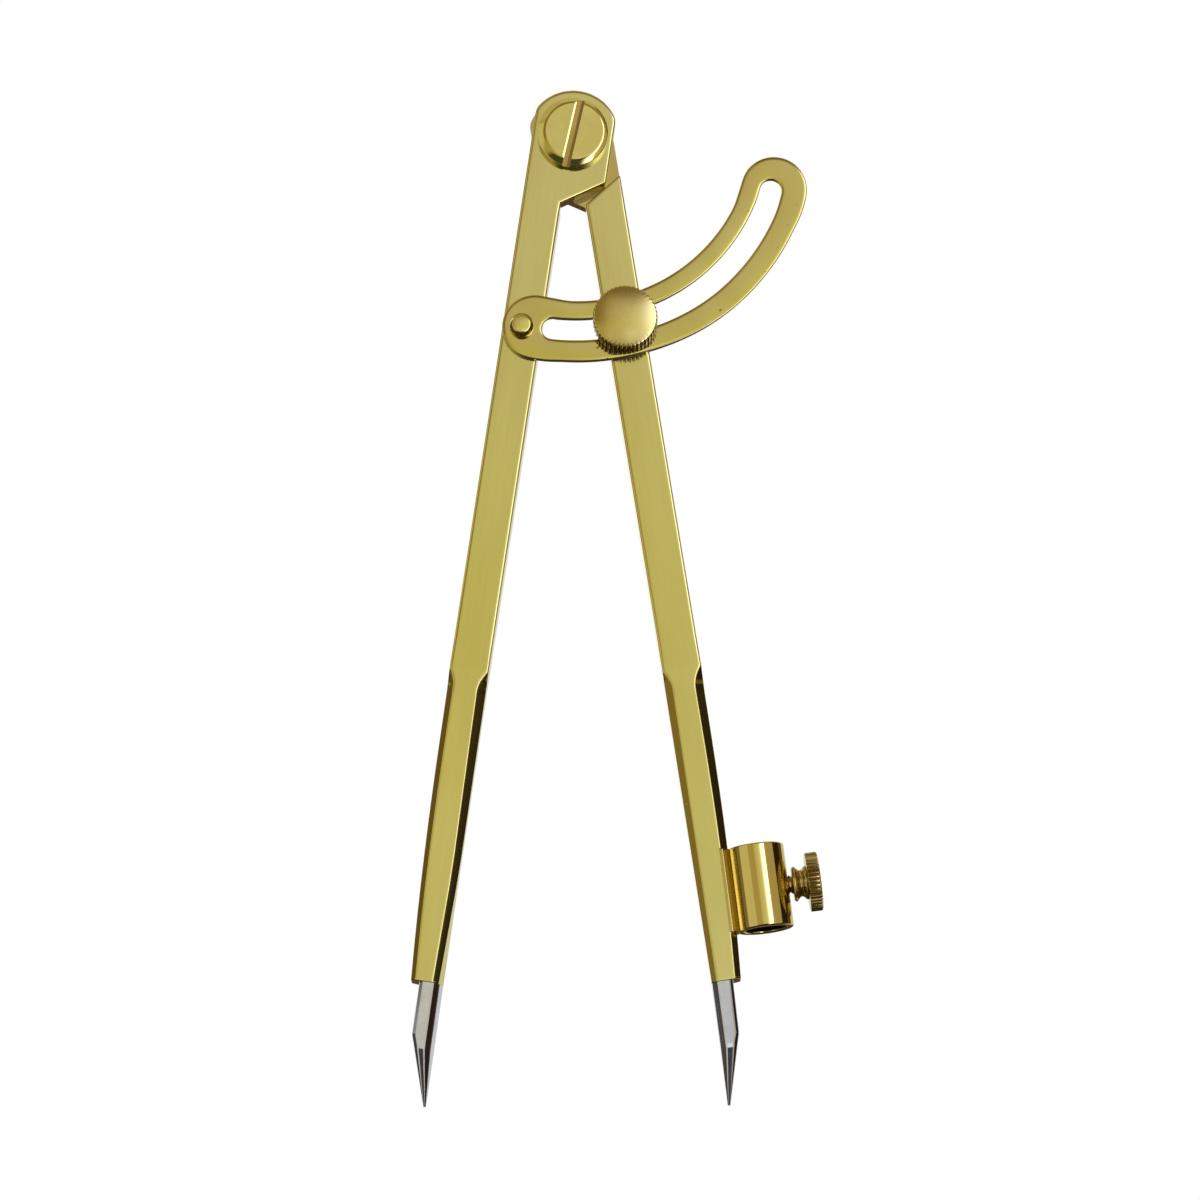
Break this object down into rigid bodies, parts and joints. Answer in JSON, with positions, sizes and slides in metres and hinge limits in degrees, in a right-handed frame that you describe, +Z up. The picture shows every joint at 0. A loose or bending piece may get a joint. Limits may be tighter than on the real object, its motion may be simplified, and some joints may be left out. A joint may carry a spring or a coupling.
{
  "type": "wing divider",
  "caption": "Brass wing divider: square legs on a slotted pivot screw, steel points, slotted arc wing with knurled lock knob, and a clamped pencil holder on the right leg.",
  "frame": {"origin": "centre of the pivot, on the plane where the two heads meet", "axes": "+Z up from the points to the head, +X to the right as seen from the front, +Y from the front face with the wing to the back"},
  "size_m": [0.0781, 0.0186, 0.1974],
  "materials": {
    "polished_brass": "polished, with fine grinding lines along the legs",
    "turned_brass": "turned satin",
    "ground_steel": "ground and hardened"
  },
  "bodies": {
    "pivot": {"pivot_screw": "turned_brass", "pivot_washer": "turned_brass", "pivot_nut": "turned_brass"},
    "left_side": {"left_leg": "polished_brass", "left_point": "ground_steel", "wing": "polished_brass", "wing_rivet": "turned_brass"},
    "right_side": {"right_leg": "polished_brass", "right_point": "ground_steel", "holder_pad": "polished_brass", "pencil_holder": "polished_brass"},
    "lock_shank": {"lock_stud": "turned_brass"},
    "lock_grip": {"lock_knob": "turned_brass"},
    "clamp_shank": {"clamp_screw": "turned_brass"},
    "clamp_grip": {"clamp_knob": "turned_brass"}
  },
  "joints": [
    {"name": "left_swing", "type": "hinge", "parent": "pivot", "child": "left_side", "pos_m": [0, 0, 0], "axis": [0, 1, 0], "range_deg": [-7.8, 27]},
    {"name": "right_swing", "type": "hinge", "parent": "pivot", "child": "right_side", "pos_m": [0, 0, 0], "axis": [0, -1, 0], "range_deg": [-7.8, 27]},
    {"name": "lock_travel", "type": "slide", "parent": "right_side", "child": "lock_shank", "axis": [0, -1, 0], "range_m": [0, 0.0014]},
    {"name": "lock_turn", "type": "hinge", "parent": "lock_shank", "child": "lock_grip", "pos_m": [0.00989, -0.00755, -0.03788], "axis": [0, -1, 0], "range_deg": [0, 721]},
    {"name": "clamp_travel", "type": "slide", "parent": "right_side", "child": "clamp_shank", "axis": [0.993, 0, 0.1185], "range_m": [-0.0006, 0.0014]},
    {"name": "clamp_turn", "type": "hinge", "parent": "clamp_shank", "child": "clamp_grip", "pos_m": [0.0448, 0, -0.14603], "axis": [0.993, 0, 0.1185], "range_deg": [-309, 721]}
  ],
  "couplings": [
    {"joint": "right_swing", "follows": "left_swing", "ratio": 1},
    {"joint": "lock_turn", "follows": "lock_travel", "rad_per_m": 8976},
    {"joint": "clamp_turn", "follows": "clamp_travel", "rad_per_m": 8976}
  ]
}
